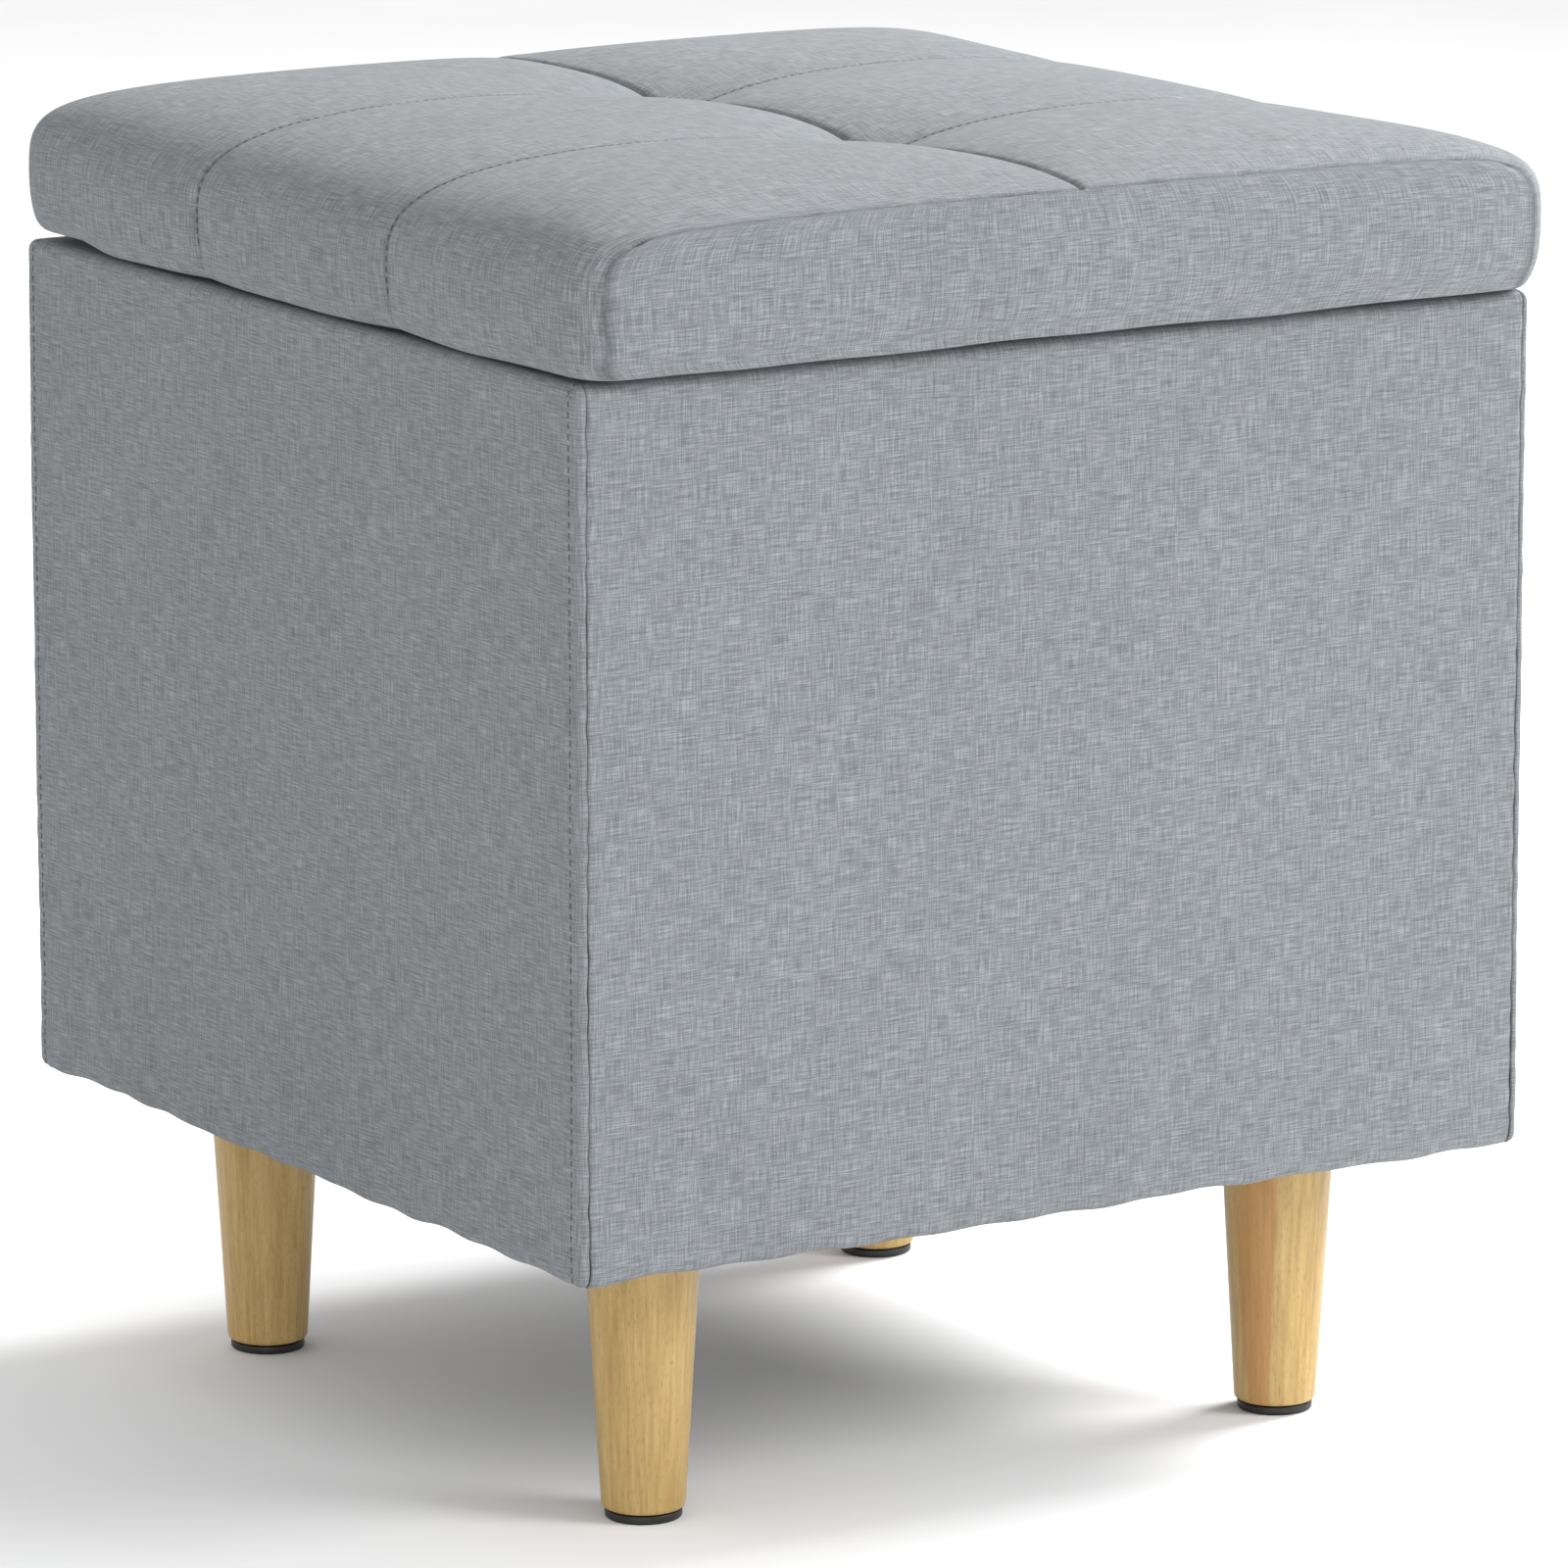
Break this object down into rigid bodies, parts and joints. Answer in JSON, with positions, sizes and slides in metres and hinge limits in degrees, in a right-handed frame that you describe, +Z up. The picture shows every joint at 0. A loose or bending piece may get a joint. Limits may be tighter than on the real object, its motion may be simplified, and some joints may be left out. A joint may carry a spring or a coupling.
{
  "type": "storage ottoman",
  "caption": "Square upholstered storage ottoman on turned wooden legs, with a padded, tufted lid that hinges up at the back on a folding stay.",
  "frame": {"origin": "on the floor, under the middle of the whole object", "axes": "+Z up, -Y the front, where the lid opens, +X to the right seen from the front"},
  "size_m": [0.389, 0.3954, 0.4636],
  "materials": {
    "grey_fabric": "linen-look woven polyester, grey melange",
    "black_nonwoven": "black spun-bonded nonwoven",
    "fibreboard": "raw medium-density fibreboard",
    "foam": "open-cell seat foam",
    "rubberwood": "turned rubberwood, satin lacquer",
    "zinc_steel": "zinc-plated pressed steel",
    "black_plastic": "black moulded plastic",
    "rubber": "translucent grey rubber",
    "twine": "waxed upholstery twine"
  },
  "bodies": {
    "box": {"back_cover": "grey_fabric", "back_panel": "fibreboard", "base_panel": "fibreboard", "dust_cover": "black_nonwoven", "front_cover": "grey_fabric", "front_panel": "fibreboard", "glide_back_left": "black_plastic", "glide_back_right": "black_plastic", "glide_front_left": "black_plastic", "glide_front_right": "black_plastic", "inner_lining": "black_nonwoven", "left_cover": "grey_fabric", "left_hinge_box_leaf": "zinc_steel", "left_hinge_box_leaf_screw_left": "zinc_steel", "left_hinge_box_leaf_screw_right": "zinc_steel", "left_hinge_pin": "zinc_steel", "left_panel": "fibreboard", "leg_back_left": "rubberwood", "leg_back_right": "rubberwood", "leg_bolt_back_left": "zinc_steel", "leg_bolt_back_right": "zinc_steel", "leg_bolt_front_left": "zinc_steel", "leg_bolt_front_right": "zinc_steel", "leg_front_left": "rubberwood", "leg_front_right": "rubberwood", "lid_bumper_left": "rubber", "lid_bumper_right": "rubber", "right_cover": "grey_fabric", "right_hinge_box_leaf": "zinc_steel", "right_hinge_box_leaf_screw_left": "zinc_steel", "right_hinge_box_leaf_screw_right": "zinc_steel", "right_hinge_pin": "zinc_steel", "right_panel": "fibreboard", "stay_wall_bracket": "zinc_steel", "stay_wall_screw_lower": "zinc_steel", "stay_wall_screw_upper": "zinc_steel", "tee_nut_back_left": "zinc_steel", "tee_nut_back_right": "zinc_steel", "tee_nut_front_left": "zinc_steel", "tee_nut_front_right": "zinc_steel"},
    "lid": {"left_hinge_lid_leaf": "zinc_steel", "left_hinge_lid_leaf_screw_left": "zinc_steel", "left_hinge_lid_leaf_screw_right": "zinc_steel", "lid_back_cover": "grey_fabric", "lid_board": "fibreboard", "lid_foam": "foam", "lid_front_cover": "grey_fabric", "lid_lining": "black_nonwoven", "lid_top_cover": "grey_fabric", "right_hinge_lid_leaf": "zinc_steel", "right_hinge_lid_leaf_screw_left": "zinc_steel", "right_hinge_lid_leaf_screw_right": "zinc_steel", "stay_lid_bracket": "zinc_steel", "stay_lid_screw_back": "zinc_steel", "stay_lid_screw_front": "zinc_steel", "tuft_twine_back": "twine", "tuft_twine_front": "twine"},
    "stay_lower_arm": {"stay_elbow_rivet": "zinc_steel", "stay_lower_arm": "zinc_steel"},
    "stay_upper_arm": {"stay_upper_arm": "zinc_steel"}
  },
  "joints": [
    {"name": "lid_hinge", "type": "hinge", "parent": "box", "child": "lid", "pos_m": [0, 0.19515, 0.4018], "axis": [-1, 0, 0], "range_deg": [0, 95]},
    {"name": "stay_lower_pivot", "type": "hinge", "parent": "box", "child": "stay_lower_arm", "pos_m": [0.16805, 0.14115, 0.2985], "axis": [-1, 0, 0], "range_deg": [0, 95]},
    {"name": "stay_upper_pivot", "type": "hinge", "parent": "lid", "child": "stay_upper_arm", "pos_m": [0.16605, 0.04145, 0.3916], "axis": [-1, 0, 0], "range_deg": [-95, 0]}
  ],
  "couplings": [
    {"joint": "stay_lower_pivot", "follows": "lid_hinge", "ratio": 0.99678},
    {"joint": "stay_upper_pivot", "follows": "lid_hinge", "ratio": -0.99674}
  ]
}
